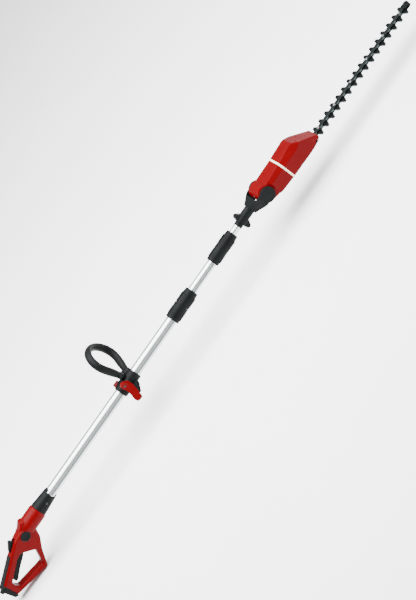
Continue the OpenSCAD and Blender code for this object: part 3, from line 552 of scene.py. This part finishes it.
def loop_tube():
    path = loop_line()
    bm = bmesh.new()
    rings = []
    for i, p in enumerate(path):
        a, b = path[max(0, i - 1)], path[min(len(path) - 1, i + 1)]
        t = (b - a).normalized()
        n = Vector((0, -t.y, t.x))
        wide = 9.8 + 3.2 * min(1.0, (p.y - 3) / 25)
        rings.append([bm.verts.new(Vector((0, p.x, p.y)) + wide * math.cos(k * math.pi / 16) * Vector((1, 0, 0))
                                   + 9.5 * math.sin(k * math.pi / 16) * n) for k in range(32)])
    for p, q in zip(rings, rings[1:]):
        for k in range(32):
            bm.faces.new((p[k], p[(k + 1) % 32], q[(k + 1) % 32], q[k]))
    bm.faces.new(rings[0])
    bm.faces.new(rings[-1])
    bmesh.ops.recalc_face_normals(bm, faces=bm.faces)
    me = bpy.data.meshes.new("tube")
    bm.to_mesh(me)
    bm.free()
    return me


loop_me = loop_tube()
loop_me.transform(LOOP_FRAME)
axis = (LOOP_FRAME.to_3x3() @ Vector((0, 1, 0))).normalized()
centre = LOOP_FRAME @ Vector((0, 0, 0))
loop = joined("loop_grip", [
    linked("tube", loop_me),
    lathe("foot_left", [(12.6, 9.4), (13, 9.8), (25.6, 9.8), (26, 9.4)], centre, axis, 48),
    lathe("foot_right", [(12.6, 9.4), (13, 9.8), (25.6, 9.8), (26, 9.4)], centre, -axis, 48),
])
voxel(loop, VOXEL, 6)
cut(loop, [
    lathe("gap", [(-12.6, 30), (12.6, 30)], centre, axis, 48),
    lathe("eye", [(-40, 4.05), (40, 4.05)], centre, axis, 32),
])
smooth(loop, 40, False)
paint(loop, FOAM)
worn(loop, "loop_handle")

# ---------------------------------------------------------------- neck, latch, fork

for n, w in (("neck", 0.7), ("release_collar", 1.2), ("fork_right", 1.6), ("fork_left", 1.6),
             ("fork_screws", 0.3), ("front_tube", 0.2)):
    eased(n, w)

# ---------------------------------------------------------------- head


def shell_pair(names, label, size, rounds):
    """Two CAD shells as one even skin."""
    o = joined(label, [linked(label, nodes[n].data.copy()) for n in names])
    edit(o, lambda bm: bmesh.ops.remove_doubles(bm, verts=bm.verts, dist=2e-6))
    voxel(o, size, rounds)
    return o


head = shell_pair(("head_shell_right", "head_shell_left"), "head", VOXEL, 4)
for side, node in [(-1, "head_shell_right"), (1, "head_shell_left")]:
    o = half(head, side)
    smooth(o, 45, False)
    paint(o, RED)
    worn(o, node)
bpy.data.objects.remove(head)
eased("trim_ring", 0.5, 3)
eased("head_screws", 0.35, 2)

# ---------------------------------------------------------------- blade

for n in ("upper_blade", "lower_blade"):
    o = eased(n, 0.55, 1, 40, [BLADE, BEVEL])
    for p in o.data.polygons:
        p.material_index = 1 if 0.15 < abs(p.normal.z) < 0.95 else 0
eased("guide_bar", 0.5, 2)
eased("guide_screws", 0.5, 2)
eased("tip_guard", 0.8, 3)

# ---------------------------------------------------------------- floor, light, camera

floor_me = bpy.data.meshes.new("floor")
bm = bmesh.new()
bmesh.ops.create_grid(bm, x_segments=8, y_segments=8, size=14.0)
bm.to_mesh(floor_me)
bm.free()
floor = linked("floor", floor_me)
floor.location = (0, 3, 0)
g = Graph("floor_pale")
g.set(Base_Color=g.tones(g.noise(3, 3), (0.90, 0.90, 0.90), (0.93, 0.93, 0.93)), Roughness=0.75)
paint(floor, g.mat)

world = bpy.data.worlds.new("studio")
bpy.context.scene.world = world
world.use_nodes = True
world.node_tree.nodes["Background"].inputs["Color"].default_value = (1.0, 1.0, 1.0, 1)
world.node_tree.nodes["Background"].inputs["Strength"].default_value = 0.6


def area(name, place, target, size, power, size_y=None):
    data = bpy.data.lights.new(name, "AREA")
    data.shape = "RECTANGLE"
    data.size = size
    data.size_y = size_y or size
    data.energy = power
    o = bpy.data.objects.new(name, data)
    bpy.context.scene.collection.objects.link(o)
    o.location = place
    o.rotation_euler = (Vector(target) - Vector(place)).to_track_quat("-Z", "Y").to_euler()
    return o


area("overhead", (0.0, -0.2, 2.6), (0, -0.2, 0), 4.4, 620, 2.8)

right = Vector((0.575, -0.818 * 0.5, -0.818 * 0.866))
up = Vector((0.818, 0.575 * 0.5, 0.575 * 0.866))
back = right.cross(up).normalized()
aim = Vector((-0.0026, -0.026, 0.080)) + Vector((ORIGIN.x + 0.714, ORIGIN.y, ORIGIN.z - 0.125))
cam_data = bpy.data.cameras.new("camera")
cam_data.lens = 135
cam_data.sensor_width = 36
cam = bpy.data.objects.new("camera", cam_data)
bpy.context.scene.collection.objects.link(cam)
distance = 1.710 * 135 / 36
rot = Matrix((right.normalized(), up.normalized(), back)).transposed().to_4x4()
cam.matrix_world = Matrix.Translation(aim + back * distance) @ rot
cam_data.clip_end = 100
bpy.context.scene.camera = cam
